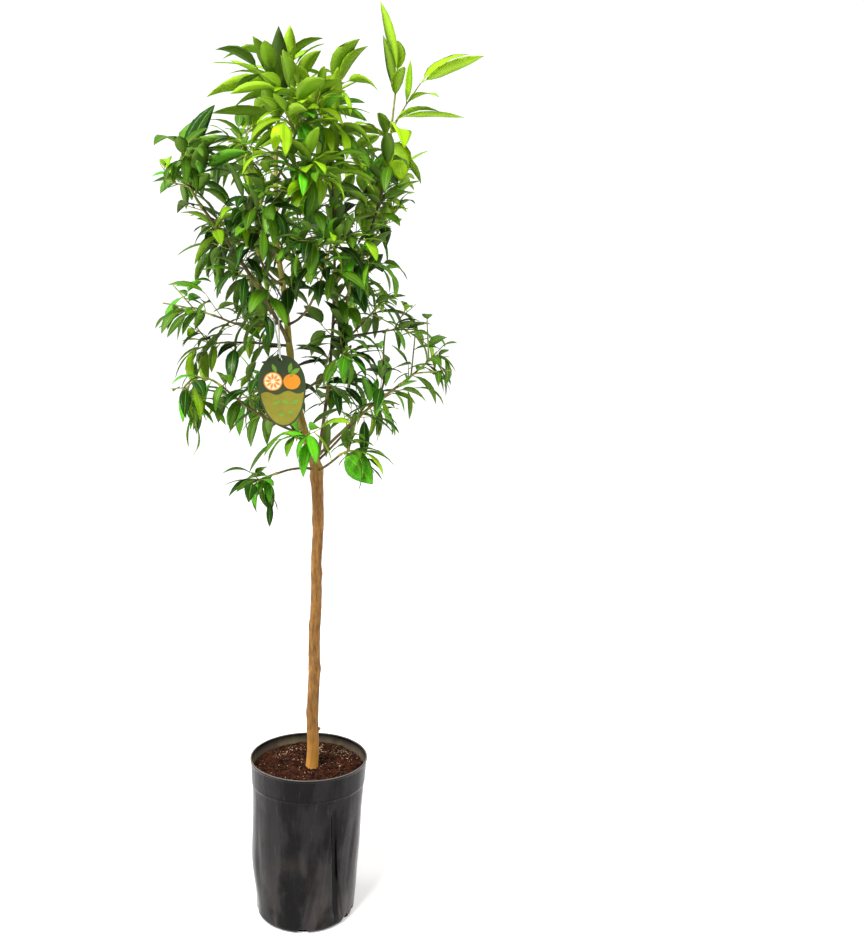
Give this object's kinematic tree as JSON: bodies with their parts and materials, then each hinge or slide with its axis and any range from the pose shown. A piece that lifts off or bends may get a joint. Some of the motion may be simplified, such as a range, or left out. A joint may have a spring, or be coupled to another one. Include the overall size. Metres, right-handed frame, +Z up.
{
  "type": "potted citrus tree",
  "caption": "Slender young citrus tree with an open leafy crown on a thin clear stem, a hang tag, and a round black nursery pot filled with soil.",
  "frame": {"origin": "centre of the pot's flat underside", "axes": "+Z up along the plant, the front of the plant towards -Y, +X to the right as seen from the front"},
  "size_m": [0.5433, 0.4917, 1.6824],
  "materials": {
    "pot": "satin",
    "soil": "matte",
    "bark": "matte",
    "foliage": "satin",
    "young_foliage": "satin",
    "label_tag": "gloss",
    "label_strap": "satin"
  },
  "bodies": {
    "root": {"pot": "pot", "soil": "soil", "trunk": "bark", "centre_bough": "bark", "upper_left_bough": "bark", "left_upper_bough": "bark", "left_mid_bough": "bark", "left_inner_bough": "bark", "left_low_bough": "bark", "low_left_bough": "bark", "right_low_bough": "bark", "right_foot_bough": "bark", "right_rise_bough": "bark", "right_mid_bough": "bark", "right_twig_bough": "bark", "right_upper_bough": "bark", "right_high_bough": "bark", "centre_front_bough": "bark", "left_front_bough": "bark", "low_front_bough": "bark", "high_front_bough": "bark", "crest_front_bough": "bark", "back_high_right_bough": "bark", "back_low_left_bough": "bark", "back_low_right_bough": "bark", "back_mid_left_bough": "bark", "back_mid_right_bough": "bark", "back_centre_bough": "bark", "back_high_left_bough": "bark", "inner_low_bough": "bark", "crest_foliage": "young_foliage", "crest_front_foliage": "young_foliage", "crest_right_foliage": "young_foliage", "back_high_right_foliage": "foliage", "top_right_foliage": "young_foliage", "right_high_foliage": "foliage", "right_inner_high_foliage": "foliage", "upper_left_foliage": "foliage", "left_upper_foliage": "foliage", "left_mid_foliage": "foliage", "left_inner_foliage": "foliage", "left_low_foliage": "foliage", "low_left_foliage": "foliage", "right_low_foliage": "foliage", "right_foot_foliage": "foliage", "right_rise_foliage": "foliage", "right_twig_foliage": "foliage", "centre_front_foliage": "foliage", "left_front_foliage": "foliage", "low_front_foliage": "foliage", "high_front_foliage": "foliage", "back_low_left_foliage": "foliage", "back_low_right_foliage": "foliage", "back_mid_left_foliage": "foliage", "back_mid_right_foliage": "foliage", "back_centre_foliage": "foliage", "back_high_left_foliage": "foliage", "inner_low_foliage": "foliage", "label_tag": "label_tag", "label_strap": "label_strap"}
  },
  "joints": []
}
